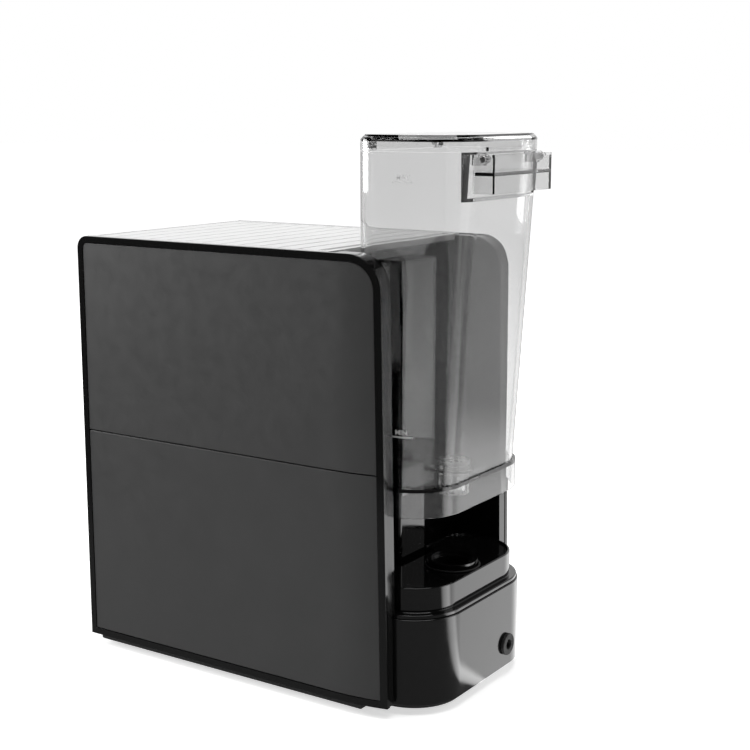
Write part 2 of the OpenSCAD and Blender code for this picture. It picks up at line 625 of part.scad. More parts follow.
// ---- inside ----
module pump() color(steel) {
  rod_x(-pump_x + 10, pump_x - 14, pump_y, pump_z, pump_r);
  rod_x(pump_x - 15, pump_x, pump_y, pump_z, 7);
  box(-pump_x, -pump_x + 10.1, pump_y - 12, pump_y + 12, pump_z - 14, pump_z + 14);
}
module pump_mounts() color(rubber) for (x = [-pump_x + 18, pump_x - 26]) difference() {
  box(x, x + 10, pump_y - 21, pump_y + 21, low_z + 3, pump_z);
  rod_x(x - 1, x + 11, pump_y, pump_z, pump_r);
}
module thermoblock() color(steel) {
  difference() {
    union() {
      slab(deck_z + 3, deck_z + 48) rr(-heat_hw, heat_hw, heat_rear - 74, heat_rear, 8, 8, 8, 8);
      for (x = [-heat_port, heat_port]) rod_y(heat_rear - e, heat_rear + 10, x, deck_z + 26, 5);
    }
    for (x = [-heat_port, heat_port]) rod_y(heat_rear - 10, heat_rear + 11, x, deck_z + 26, 2.5);
    for (z = [10, 18, 34, 42]) box(-heat_hw - 2, heat_hw + 2, heat_rear - 76, heat_rear - 70, deck_z + z, deck_z + z + 3);
  }
}
module flow_meter() color(pale) {
  rod_z(low_z + 3, low_z + 23, meter_x, meter_y, meter_r);
  rod_z(low_z + 22.9, low_z + 32, meter_x, meter_y, 4);
  rod_x(meter_x - meter_r - 3, meter_x, meter_y, low_z + 13, 4);
}
module hoses() color(rubber) {
  // Socket to flow meter, flow meter to pump, pump to heater, heater to brew head.
  sump = socket_floor - 17.8;
  up = deck_z + 26;
  out = meter_x - meter_r - 3;
  riser = [-pump_x - 8, niche_y - 11];
  tube([[0, valve_y, socket_floor - 12], [0, valve_y, sump], [0, niche_y + 7, sump], [meter_x, niche_y + 7, sump],
    [meter_x, meter_y, low_z + 38], [meter_x, meter_y, low_z + 32]], 3.4);
  tube([[out, meter_y, low_z + 13], [out - 3, meter_y, low_z + 13], [out - 3, pump_y, pump_z], [pump_x, pump_y, pump_z]], 2.6);
  tube([[-pump_x, pump_y, pump_z], [riser[0], pump_y, pump_z], [riser[0], riser[1], pump_z + 9], [riser[0], riser[1], up],
    [-heat_port, riser[1], up], [-heat_port, heat_rear + 10, up]], 2.6);
  tube([[heat_port, heat_rear + 10, up], [heat_port, meter_y, up], [heat_port, meter_y, piston_z + 8.8], [heat_port, bulk_y + bulk_t, piston_z + 8.8]], 2.6);
}
module tube(p, r) for (i = [0:len(p) - 2]) {
  d = p[i + 1] - p[i];
  translate(p[i]) rotate([0, acos(d[2] / norm(d)), atan2(d[1], d[0])]) cylinder(h = norm(d), r = r, $fn = 32);
  if (i > 0) translate(p[i]) sphere(r + 0.2, $fn = 32);
}
module control_board() color([0.05, 0.25, 0.12]) {
  box(board_x, board_x + 2, board_rear - 90, board_rear, deck_z + 3, deck_z + 110);
  for (y = [-80, -50, -25], z = [25, 70]) box(board_x + 2 - e, board_x + 2 + chip, board_rear + y, board_rear + y + 12, deck_z + z, deck_z + z + 18);
}

// ---- water tank, drawn lifted ----
// Solid of the tank, inset by i: an upright front and a rear that leans, so that the corners stay round.
module tank_solid(i, z0, z1) intersection() {
  slab(z0, z1) rr(-tank_hw + i, tank_hw - i, tank_front + i, tank_rear_top + 30, tank_fr - i, tank_fr - i, 0, 0);
  translate([0, tank_rear_bot - i, floor_z]) rotate([-tilt, 0, 0]) slab(-30, 280)
    rr(-tank_hw + i, tank_hw - i, -120, 0, 0, 0, tank_r - i, tank_r - i);
}
// Recess in the rear wall that the handle folds into.
module recess(i) box(-recess_hw - i, recess_hw + i, recess_y - i, 200, hinge_z - handle_h - i, tank_rim + (i > 0 ? 0.5 : -1.5));
module tank_shell() color(smoke) translate([0, 0, lift]) {
  difference() {
    union() {
      difference() {
        tank_solid(0, floor_z, tank_rim);
        recess(0);
      }
      // Skirt that goes down over the pedestal.
      slab(floor_z - skirt_h, floor_z + floor_t) rr(-skirt_hw, skirt_hw, tank_front, skirt_rear, tank_fr, tank_fr, skirt_r, skirt_r);
      // Lugs for the handle pins.
      for (s = [-1, 1]) {
        box(s > 0 ? lug_hw - 4 : -lug_hw, s > 0 ? lug_hw : -lug_hw + 4, recess_y - 1, hinge_y, hinge_z - 4, hinge_z + lug_r - 0.3);
        rod_x(s > 0 ? lug_hw - 4 : -lug_hw, s > 0 ? lug_hw : -lug_hw + 4, hinge_y, hinge_z, lug_r);
      }
      // Ears for the lid pins.
      for (s = [-1, 1]) {
        rod_x(s * ear_x - 2, s * ear_x + 2, lid_axis_y, lid_axis_z, 3);
        box(s * ear_x - 2, s * ear_x + 2, lid_axis_y, tank_front + tank_t, tank_rim - e, lid_axis_z + 3);
      }
    }
    difference() {
      tank_solid(tank_t, floor_z + floor_t, tank_rim + 1);
      recess(tank_t);
      box(-chan_hw - tank_t, chan_hw + tank_t, tank_front - 1, chan_y + tank_t, 0, chan_top + tank_t);
      rod_z(0, floor_z + floor_t + dome_h, 0, valve_y, collar_r + collar_gap + tank_t);
      for (s = [-1, 1]) box(s * ear_x - 2, s * ear_x + 2, lid_axis_y, tank_front + tank_t, tank_rim, lid_axis_z + 3);
    }
    slab(floor_z - skirt_h - 1, floor_z) difference() {
      rr(-skirt_hw + tank_t, skirt_hw - tank_t, tank_front + tank_t, skirt_rear - tank_t, tank_fr - tank_t, tank_fr - tank_t, skirt_r - tank_t, skirt_r - tank_t);
      translate([-chan_hw - tank_t, tank_front]) square([2 * (chan_hw + tank_t), chan_y + tank_t - tank_front]);
    }
    // Channel for the guide column.
    box(-chan_hw, chan_hw, tank_front - 1, chan_y, floor_z - skirt_h - 1, chan_top);
    // Pocket for the collar, and the valve's hole in it.
    rod_z(floor_z - 1, floor_z + dome_h, 0, valve_y, collar_r + collar_gap);
    rod_z(floor_z, valve_top + 1, 0, valve_y, valve_r - 2);
    rod_x(-60, 60, hinge_y, hinge_z, hinge_r);
    rod_x(-60, 60, lid_axis_y, lid_axis_z, pin_r);
  }
}
module level_marks() color(pale) translate([0, 0, lift]) for (z = [mark_min, mark_max]) intersection() {
  difference() {
    tank_solid(-0.3, z, z + 1);
    tank_solid(0, z - 1, z + 2);
  }
  box(0, tank_hw + 1, tank_front + mark_off, tank_front + mark_off + mark_len, z, z + 1);
}
mark_min = 127;
mark_max = 295;
valve_top = floor_z + dome_h + floor_t;      // upper face of the tank floor around the valve
module valve_body() color(pale) translate([0, 0, lift]) difference() {
  union() {
    rod_z(valve_bot, floor_z + dome_h, 0, valve_y, valve_r);
    rod_z(floor_z + dome_h - e, valve_top, 0, valve_y, valve_r - 2);
    rod_z(valve_top, valve_top + 1, 0, valve_y, valve_r - 0.2);
  }
  rod_z(valve_bot + 2, spring_top, 0, valve_y, valve_r - 4.5);
  rod_z(spring_top - e, valve_top + 3, 0, valve_y, 3.4);
  rod_z(valve_bot - 2, valve_bot + 3, 0, valve_y, stem_r + run_fit);
}
spring_len = 7.4;
spring_bot = valve_bot + 4.4;
spring_top = spring_bot + spring_len;
module valve_stem() color(steel) translate([0, 0, lift]) {
  rod_z(valve_bot + 1, valve_bot + 8, 0, valve_y, stem_r);
  rod_z(spring_bot - 2, spring_bot, 0, valve_y, 4.6);
}
module valve_spring() color(steel) translate([0, valve_y, lift + spring_bot]) {
  for (k = [0:3]) translate([0, 0, 0.4 + k * 2.2]) rotate_extrude() translate([4, 0]) circle(0.4, $fn = 16);
  for (k = [0:2]) rotate([0, 0, k * 180]) translate([4, 0, 0.4 + k * 2.2]) cylinder(h = 2.2, r = 0.35, $fn = 16);
}
module filter_screen() color(pale) translate([0, valve_y, lift + valve_top]) difference() {
  cylinder(h = 2.8, r = valve_r + 0.8);
  translate([0, 0, -1]) cylinder(h = 3, r = valve_r);
  translate([0, 0, -1]) cylinder(h = 9, r = 1.6);
  for (a = [0:45:315]) rotate([0, 0, a]) translate([6.4, 0, 0]) cylinder(h = 9, r = 1.4);
}

module tank_lid() color(smoke) translate([0, 0, lift]) {
  difference() {
    union() {
      chamfer_slab(-tank_hw, tank_hw, tank_front, tank_rear_top, tank_fr, tank_r, tank_rim + 0.4, tank_rim + lid_h, lid_c);
      // Rear thumb tab.
      slab(tank_rim + 0.4, tank_rim + 3) rr(-30, 30, tank_rear_top - 6, tank_rear_top + 1.5, 0, 0, 1, 1);
      for (s = [-1, 1]) {
        rod_x(s * (ear_x + 4.5) - 2, s * (ear_x + 4.5) + 2, lid_axis_y, lid_axis_z, 3);
        box(s * (ear_x + 4.5) - 2, s * (ear_x + 4.5) + 2, lid_axis_y, tank_front + 1, lid_axis_z - 3, lid_axis_z + 3);
      }
    }
    translate([0, 0, -2.4]) chamfer_slab(-tank_hw + tank_t, tank_hw - tank_t, tank_front + tank_t, tank_rear_top - tank_t, tank_fr - tank_t, tank_r - tank_t, tank_rim, tank_rim + lid_h, lid_c - 1);
    // Clear of the tank's ears and of the lid pins.
    for (s = [-1, 1]) box(s * ear_x - 2.5, s * ear_x + 2.5, tank_front - 3, tank_front + 8, tank_rim - 1, lid_axis_z + 3.6);
    rod_x(-60, 60, lid_axis_y, lid_axis_z, pin_r + run_fit);
  }
}
module lid_pins() color(steel) translate([0, 0, lift]) for (s = [-1, 1])
  rod_x(s > 0 ? ear_x - 2 : -ear_x - 6.5, s > 0 ? ear_x + 6.5 : -ear_x + 2, lid_axis_y, lid_axis_z, pin_r);

module tank_handle() color(smoke) translate([0, 0, lift]) {
  difference() {
    union() {
      for (s = [-1, 1]) {
        rod_x(s > 0 ? handle_hw - 2 : -handle_hw, s > 0 ? handle_hw : -handle_hw + 2, hinge_y, hinge_z, hinge_r + 1.9);
        box(s > 0 ? handle_hw - 2 : -handle_hw, s > 0 ? handle_hw : -handle_hw + 2, hinge_y - 7, handle_rear - 1, hinge_z - handle_h + 3, hinge_z + 1);
      }
      box(-handle_hw, handle_hw, handle_rear - 2, handle_rear, hinge_z - handle_h + 3, hinge_z + 3);
      box(-handle_hw + 1, handle_hw - 1, hinge_y - 6, handle_rear - 1, hinge_z - handle_h / 2 + 2, hinge_z - handle_h / 2 + 4);
    }
    rod_x(-60, 60, hinge_y, hinge_z, hinge_r + run_fit);
  }
}
module handle_pins() color(steel) translate([0, 0, lift]) for (s = [-1, 1])
  rod_x(s > 0 ? lug_hw - 4 : -handle_hw, s > 0 ? handle_hw : -lug_hw + 4, hinge_y, hinge_z, hinge_r);

base_plate();
base_shell();
rubber_feet();
base_screws();
chassis_wall_right();
chassis_wall_left();
chassis_deck();
side_panel_upper_right();
side_panel_lower_right();
side_panel_upper_left();
side_panel_lower_left();
edge_trim_right();
edge_trim_left();
niche_liner();
rear_flange_right();
rear_flange_left();
tank_seat();
valve_socket();
seat_seal();
cup_plate();
front_fascia();
lower_fascia();
bay_liner();
control_panel();
indicator_lens();
spout();
brew_housing();
brew_bulkhead();
lever_pins();
pump();
pump_mounts();
thermoblock();
flow_meter();
hoses();
control_board();
cord_gland();
brew_lever();
lever_grip();
brew_piston();
piercing_needle();
pod_drawer();
pod_cup();
button_power();
button_short();
button_long();
drip_tray();
drip_grid();
used_pod_bin();
tank_shell();
level_marks();
valve_body();
valve_stem();
valve_spring();
filter_screen();
tank_lid();
lid_pins();
tank_handle();
handle_pins();
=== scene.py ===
"""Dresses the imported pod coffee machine: rounded edges, finishes, print, small fittings, plain studio."""

import json
import logging
import math
from abc import ABC, abstractmethod
from dataclasses import dataclass
from enum import Enum

import bmesh
import bpy
from mathutils import Matrix, Vector


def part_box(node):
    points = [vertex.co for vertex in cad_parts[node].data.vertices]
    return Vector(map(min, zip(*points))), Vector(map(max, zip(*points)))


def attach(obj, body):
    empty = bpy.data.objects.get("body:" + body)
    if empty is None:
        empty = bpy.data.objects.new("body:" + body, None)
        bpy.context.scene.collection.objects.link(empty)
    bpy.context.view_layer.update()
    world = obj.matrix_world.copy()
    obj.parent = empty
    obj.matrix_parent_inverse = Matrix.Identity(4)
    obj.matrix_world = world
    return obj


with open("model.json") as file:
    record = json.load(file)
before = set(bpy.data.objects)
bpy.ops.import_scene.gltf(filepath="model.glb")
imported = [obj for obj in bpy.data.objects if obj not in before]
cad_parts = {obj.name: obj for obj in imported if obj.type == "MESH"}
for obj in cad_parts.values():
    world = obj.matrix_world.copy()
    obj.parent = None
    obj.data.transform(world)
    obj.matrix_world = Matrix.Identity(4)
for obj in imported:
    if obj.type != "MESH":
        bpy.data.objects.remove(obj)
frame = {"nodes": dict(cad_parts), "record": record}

log = logging.getLogger("machine")
MM = 0.001
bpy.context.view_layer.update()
Colour = tuple[float, float, float]
Point = tuple[float, float, float]
Socket = bpy.types.NodeSocket
PLASTIC_IOR = 1.5
BLOCK = ((0, 1, 2, 3), (7, 6, 5, 4), (0, 4, 5, 1), (1, 5, 6, 2), (2, 6, 7, 3), (3, 7, 4, 0))


# ---- node trees ----
class Tree:
    """Short words for the nodes and links of one material or world."""

    def __init__(self, tree: bpy.types.NodeTree) -> None:
        """Empties the tree."""
        self.tree = tree
        tree.nodes.clear()

    def add(self, kind: str, **values: object) -> bpy.types.Node:
        """Adds a node.

        Args:
            kind: The node's class name without "ShaderNode".
            values: Input sockets by name, with _ for a space, or the node's own properties.
        Returns:
            The node.
        """
        node = self.tree.nodes.new("ShaderNode" + kind)
        for name, value in values.items():
            socket = node.inputs.get(name.replace("_", " "))
            if socket is None:
                setattr(node, name, value)
            elif isinstance(value, Socket):
                self.tree.links.new(value, socket)
            else:
                socket.default_value = value
        return node

    def link(self, source: Socket, target: Socket) -> None:
        """Joins two sockets."""
        self.tree.links.new(source, target)

    def ramp(self, source: Socket, low: float, high: float) -> Socket:
        """Maps the middle of a noise to the range from low to high."""
        node = self.add("MapRange", Value=source, From_Min=0.3, From_Max=0.7, To_Min=low, To_Max=high)
        return node.outputs[0]

    def noise(self, scale: float, detail: float = 3, stretch: Point = (1, 1, 1)) -> Socket:
        """A noise in the object's own coordinates.

        Args:
            scale: Features per metre.
            detail: Octaves.
            stretch: Scale along each axis.
        Returns:
            The noise's value.
        """
        where = self.add("TexCoord").outputs["Object"]
        moved = self.add("Mapping", Vector=where, Scale=stretch)
        return self.add("TexNoise", Vector=moved.outputs[0], Scale=scale, Detail=detail).outputs[0]


def grey(level: float) -> Colour:
    """The linear colour of a neutral grey given as a screen level from 0 to 255."""
    share = level / 255
    linear = share / 12.92 if share <= 0.04045 else ((share + 0.055) / 1.055) ** 2.4
    return (linear, linear, linear)


# ---- finishes ----
class Finish(ABC):
    """A surface finish that makes one material when it is first asked for."""

    made: dict["Finish", bpy.types.Material] = {}

    def material(self) -> bpy.types.Material:
        """The material of this finish, made once."""
        if self not in Finish.made:
            material = bpy.data.materials.new(self.name)
            material.use_nodes = True
            material.diffuse_color = (*self.colour, 1)
            tree = Tree(material.node_tree)
            out = tree.add("OutputMaterial")
            self.wire(tree, out)
            Finish.made[self] = material
        return Finish.made[self]

    @abstractmethod
    def wire(self, tree: Tree, out: bpy.types.Node) -> None:
        """Fills the node tree."""

    @staticmethod
    def tinted(tree: Tree, colour: Colour, spread: float, scale: float) -> Socket:
        """A colour that drifts a little over the surface.

        Args:
            tree: The material's tree.
            colour: The middle colour.
            spread: How far it drifts, as a share.
            scale: Patches per metre.
        Returns:
            The colour's socket.
        """
        mix = tree.add("Mix", data_type="RGBA")
        tree.link(tree.ramp(tree.noise(scale), 0, 1), mix.inputs["Factor"])
        mix.inputs[6].default_value = (*[c * (1 - spread) for c in colour], 1)
        mix.inputs[7].default_value = (*[c * (1 + spread) for c in colour], 1)
        return mix.outputs[2]


@dataclass(frozen=True)
class Moulding(Finish):
    """Moulded plastic, rubber or board: a grain, a gloss and a faint drift of colour."""

    name: str
    colour: Colour
    gloss: float = 0.3
    gloss_drift: float = 0.05
    grain: float = 2500
    depth: float = 0.00001
    strength: float = 0.3
    drift: float = 0.04

    def wire(self, tree: Tree, out: bpy.types.Node) -> None:
        """Grain drives the bump; a coarser noise drives the roughness."""
        grain = tree.noise(self.grain, 4)
        bump = tree.add("Bump", Height=grain, Strength=self.strength, Distance=self.depth)
        rough = tree.ramp(tree.noise(90), self.gloss - self.gloss_drift, self.gloss + self.gloss_drift)
        shader = tree.add("BsdfPrincipled", Roughness=rough, Normal=bump.outputs[0], IOR=PLASTIC_IOR)
        tree.link(self.tinted(tree, self.colour, self.drift, 25), shader.inputs["Base Color"])
        tree.link(shader.outputs[0], out.inputs["Surface"])


@dataclass(frozen=True)
class Metal(Finish):
    """Metal with a brushed, turned or cast grain."""

    name: str
    colour: Colour
    gloss: float = 0.25
    grain: float = 300
    stretch: Point = (1, 1, 1)
    depth: float = 0.00001

    def wire(self, tree: Tree, out: bpy.types.Node) -> None:
        """The stretched grain drives both the bump and the roughness."""
        grain = tree.noise(self.grain, 5, self.stretch)
        bump = tree.add("Bump", Height=grain, Strength=0.25, Distance=self.depth)
        rough = tree.ramp(grain, self.gloss * 0.7, self.gloss * 1.3)
        shader = tree.add("BsdfPrincipled", Roughness=rough, Normal=bump.outputs[0], Metallic=1.0)
        tree.link(self.tinted(tree, self.colour, 0.05, 40), shader.inputs["Base Color"])
        tree.link(shader.outputs[0], out.inputs["Surface"])


@dataclass(frozen=True)
class Clear(Finish):
    """Smoky see-through plastic: thick edges go dark, and lamps pass through it."""

    name: str
    colour: Colour
    density: float = 68.0
    haze: float = 0.015
    tint: float = 0.89
    lamp_share: float = 0.75

    def wire(self, tree: Tree, out: bpy.types.Node) -> None:
        """Glass with absorption inside, and a plain tint for light that passes through."""
        ripple = tree.add("Bump", Height=tree.noise(35, 2), Strength=0.08, Distance=0.0004)
        rough = tree.ramp(tree.noise(120), 0.0, self.haze * 2)
        glass = tree.add("BsdfPrincipled", Roughness=rough, Normal=ripple.outputs[0], IOR=PLASTIC_IOR)
        glass.inputs["Transmission Weight"].default_value = 1.0
        glass.inputs["Base Color"].default_value = (self.tint,) * 3 + (1,)
        through = tree.add("BsdfTransparent")
        through.inputs["Color"].default_value = (self.lamp_share,) * 3 + (1,)
        path = tree.add("LightPath")
        mix = tree.add("MixShader")
        tree.link(path.outputs["Is Shadow Ray"], mix.inputs[0])
        tree.link(glass.outputs[0], mix.inputs[1])
        tree.link(through.outputs[0], mix.inputs[2])
        tree.link(mix.outputs[0], out.inputs["Surface"])
        inside = tree.add("VolumeAbsorption")
        inside.inputs["Color"].default_value = (*self.colour, 1)
        inside.inputs["Density"].default_value = self.density
        tree.link(inside.outputs[0], out.inputs["Volume"])


@dataclass(frozen=True)
class Glow(Finish):
    """A pale lens with a faint light behind it."""

    name: str
    colour: Colour
    strength: float = 0.4

    def wire(self, tree: Tree, out: bpy.types.Node) -> None:
        """A milky plastic that glows a little."""
        shader = tree.add("BsdfPrincipled", Roughness=tree.ramp(tree.noise(200), 0.15, 0.3))
        tree.link(self.tinted(tree, self.colour, 0.05, 60), shader.inputs["Base Color"])
        shader.inputs["Emission Color"].default_value = (*self.colour, 1)
        shader.inputs["Emission Strength"].default_value = self.strength
        tree.link(shader.outputs[0], out.inputs["Surface"])


class Slot(Enum):
    """The record's material slots, each with the finish that it gets."""

    charcoal_panel = Moulding("charcoal_satin", grey(66), gloss=0.42, grain=3500, depth=0.000012)
    gloss_black = Moulding("gloss_black_plastic", grey(12), gloss=0.08, gloss_drift=0.03, grain=60,
                           strength=0.1)
    dark_gloss = Moulding("dark_gloss_plastic", grey(20), gloss=0.14, grain=60, strength=0.1)
    dark_matte = Moulding("dark_matte_plastic", grey(48), gloss=0.55, grain=1800, depth=0.00003)
    black_rubber = Moulding("black_rubber", grey(34), gloss=0.75, grain=1200, depth=0.00004, drift=0.1)
    steel = Metal("turned_steel", grey(196), gloss=0.2, grain=900)
    satin_steel = Metal("brushed_steel", grey(200), gloss=0.28, grain=500, stretch=(0.05, 1, 1))
    cast_aluminium = Metal("cast_aluminium", grey(178), gloss=0.5, grain=700, depth=0.00008)
    pale_plate = Moulding("pale_satin_plate", grey(212), gloss=0.4, grain=2200, depth=0.000004,
                          drift=0.01)
    white_plastic = Moulding("white_plastic", grey(228), gloss=0.3, grain=1500, drift=0.02)
    lens = Glow("pale_lens", grey(225))
    green_board = Moulding("green_board", (0.01, 0.09, 0.03), gloss=0.35, grain=500, depth=0.00003,
                           drift=0.2)
    frosted_clear = Clear("frosted_clear_plastic", grey(0), density=40, haze=0.3, tint=0.97,
                          lamp_share=0.8)
    smoked_clear = Clear("smoky_clear_plastic", grey(0))

    def dress(self, piece: bpy.types.Object) -> None:
        """Gives a piece this finish alone."""
        piece.data.materials.clear()
        piece.data.materials.append(self.value.material())
        for face in piece.data.polygons:
            face.material_index = 0


# ---- mesh helpers ----
def mesh_piece(name: str, verts: list, faces: list, slot: Slot, body: str,
               smooth: bool = True) -> bpy.types.Object:
    """Makes a piece from points and faces, finished and riding on a body.

    Args:
        name: The piece's name.
        verts: Points in the row frame, in metres.
        faces: Corner indices of each face.
        slot: The material slot that it takes its finish from.
        body: The CAD body that it rides on.
        smooth: Whether its faces are shaded smooth.
    Returns:
        The piece.
    """
    mesh = bpy.data.meshes.new(name)
    mesh.from_pydata([tuple(v) for v in verts], [], faces)
    work = bmesh.new()
    work.from_mesh(mesh)
    bmesh.ops.recalc_face_normals(work, faces=work.faces)
    work.to_mesh(mesh)
    work.free()
    piece = bpy.data.objects.new(name, mesh)
    bpy.context.scene.collection.objects.link(piece)
    for face in mesh.polygons:
        face.use_smooth = smooth
    slot.dress(piece)
    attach(piece, body)
    log.info("piece %s on %s: %d faces", name, body, len(mesh.polygons))
    return piece


def ring_piece(name: str, middle: Vector, axis: str, radii: tuple[float, float],
               span: tuple[float, float], slot: Slot, body: str, steps: int = 64) -> bpy.types.Object:
    """Makes a ring, or a disc where the inner radius is 0.

    Args:
        name: The piece's name.
        middle: A point on its axis, in metres.
        axis: The axis that it is turned about, X, Y or Z.
        radii: Inner and outer radius in millimetres.
        span: Where it starts and ends along the axis, in metres.
        slot: The material slot.
        body: The body that it rides on.
        steps: Corners around it.
    Returns:
        The ring.
    """
    along = "XYZ".index(axis)
    across = [i for i in range(3) if i != along]
    soft = min(0.15, (radii[1] - radii[0]) / 4)
    near, far = span
    rim = [(radii[0], near), (radii[1] - soft, near), (radii[1], near + soft * MM), (radii[1], far),
           (radii[0], far)]
    verts, faces = [], []
    for step in range(steps):
        turn = 2 * math.pi * step / steps
        for radius, place in rim:
            point = [0.0, 0.0, 0.0]
            point[along] = place
            point[across[0]] = middle[across[0]] + radius * MM * math.cos(turn)
            point[across[1]] = middle[across[1]] + radius * MM * math.sin(turn)
            verts.append(tuple(point))
        after = (step + 1) % steps
        here, there = step * len(rim), after * len(rim)
        for k in range(len(rim)):
            nxt = (k + 1) % len(rim)
            faces.append((here + k, here + nxt, there + nxt, there + k))
    return mesh_piece(name, verts, faces, slot, body, smooth=False)


def soften(piece: bpy.types.Object, width: float, segments: int = 3, angle: float = 32) -> None:
    """Rounds the hard edges of a piece.

    Args:
        piece: A CAD node or a piece of this script.
        width: Width of the rounding in millimetres.
        segments: Steps across it.
        angle: Edges sharper than this many degrees are rounded.
    """
    for face in piece.data.polygons:
        face.use_smooth = True
    weld = piece.modifiers.new("weld", "WELD")
    weld.merge_threshold = 0.004 * MM
    flat = piece.modifiers.new("flat", "DECIMATE")
    flat.decimate_type = "DISSOLVE"
    flat.angle_limit = math.radians(0.4)
    bevel = piece.modifiers.new("round", "BEVEL")
    bevel.width = width * MM
    bevel.segments = segments
    bevel.limit_method = "ANGLE"
    bevel.angle_limit = math.radians(angle)
    bevel.miter_outer = "MITER_ARC"
    shade = piece.modifiers.new("shade", "WEIGHTED_NORMAL")
    shade.keep_sharp = False
    shade.weight = 60


# ---- sub-assemblies ----
@dataclass
class Assembly(ABC):
    """A sub-assembly of the machine."""

    def nodes(self) -> dict[str, float]:
        """CAD nodes of this assembly, each with the rounding of its edges in millimetres."""
        return {}

    def build(self) -> None:
        """Dresses the CAD nodes, then adds the assembly's own pieces."""
        slots = {s["node"]: s["material_slot"] for s in frame["record"]["subparts"]}
        for name, rounding in self.nodes().items():
            node = frame["nodes"][name]
            Slot[slots[name]].dress(node)
            if rounding > 0:
                soften(node, rounding)
            log.info("node %s: %s, edges %.2f mm", name, slots[name], rounding)
        self.extras()

    def extras(self) -> None:
        """Adds pieces that the CAD model leaves out."""


@dataclass
class BodyShell(Assembly):
    """Side panels, trims, flanges, base and cup plate."""

    panel_edge: float = 0.5
    trim_edge: float = 0.6

    def nodes(self) -> dict[str, float]:
        """The outer shell's nodes."""
        sides = ("right", "left")
        panels, trims = ("side_panel_upper", "side_panel_lower"), ("edge_trim", "rear_flange")
        found = {f"{name}_{side}": self.panel_edge for name in panels for side in sides}
        found |= {f"{name}_{side}": self.trim_edge for name in trims for side in sides}
        return found | {"cup_plate": 0.35, "base_plate": 0.3, "base_shell": 0.8, "rubber_feet": 0.8,
                        "base_screws": 0.2, "cord_gland": 0.5}


@dataclass
class Niche(Assembly):
    """The niche behind the body and the seat that the tank stands on."""

    def nodes(self) -> dict[str, float]:
        """Liner, seat, socket and seal."""
        return {"niche_liner": 0.6, "tank_seat": 0.9, "valve_socket": 0.5, "seat_seal": 0}


@dataclass
class WaterTank(Assembly):
    """The clear tank with its valve, lid and flip handle."""

    word_height: float = 3.4
    ink: float = 0.12
    low_word: tuple[float, float] = (2.8, 2.0)
    high_word: tuple[float, float] = (3.2, 1.0)

    def nodes(self) -> dict[str, float]:
        """Everything that lifts out with the tank."""
        return {"tank_shell": 0.6, "level_marks": 0, "valve_body": 0.3, "valve_stem": 0.15,
                "valve_spring": 0, "filter_screen": 0.3, "tank_lid": 0.5, "lid_pins": 0.2,
                "tank_handle": 0.35, "handle_pins": 0.2}

    @staticmethod
    def wall_x(y: float, z: float) -> float:
        """X of the tank's outer right face at a place, all in metres."""
        shell = frame["nodes"]["tank_shell"]
        inward = shell.matrix_world.inverted()
        hit = shell.ray_cast(inward @ Vector((1, y, z)), inward.to_3x3() @ Vector((-1, 0, 0)))
        return (shell.matrix_world @ hit[1]).x

    def word(self, text: str, front: float, foot: float) -> None:
        """Prints a word on the tank's right wall.

        Args:
            text: The word.
            front: Where it starts, as a row-frame Y in metres.
            foot: Its foot, as a row-frame Z in metres.
        """
        curve = bpy.data.curves.new("word", "FONT")
        curve.body = text
        curve.size = self.word_height * MM / 0.7
        curve.extrude = self.ink * MM / 2
        curve.offset = 0.00002
        letters = bpy.data.objects.new("word", curve)
        bpy.context.scene.collection.objects.link(letters)
        bpy.context.view_layer.update()
        solid = letters.evaluated_get(bpy.context.evaluated_depsgraph_get())
        mesh = bpy.data.meshes.new_from_object(solid)
        bpy.data.objects.remove(letters)
        wall = self.wall_x(front, foot)
        lean = (self.wall_x(front, foot + self.word_height * MM) - wall) / (self.word_height * MM)
        reach = 3 * self.word_height * MM
        turn = (self.wall_x(front + reach, foot) - wall) / reach
        out = wall + self.ink * MM
        mesh.transform(Matrix(((turn, lean, 1, out), (1, 0, 0, front), (0, 1, 0, foot), (0, 0, 0, 1))))
        name = f"level_word_{text.lower()}"
        verts = [tuple(v.co) for v in mesh.vertices]
        faces = [tuple(f.vertices) for f in mesh.polygons]
        bpy.data.meshes.remove(mesh)
        piece = mesh_piece(name, verts, faces, Slot.white_plastic, "tank", smooth=False)
        piece.modifiers.new("weld", "WELD").merge_threshold = 0.002 * MM

    def extras(self) -> None:
        """The two level words, above their marks."""
        low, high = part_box("level_marks")
        self.word("MIN", low.y + self.low_word[0] * MM, low.z + self.low_word[1] * MM)
        self.word("MAX", low.y + self.high_word[0] * MM, high.z + self.high_word[1] * MM)


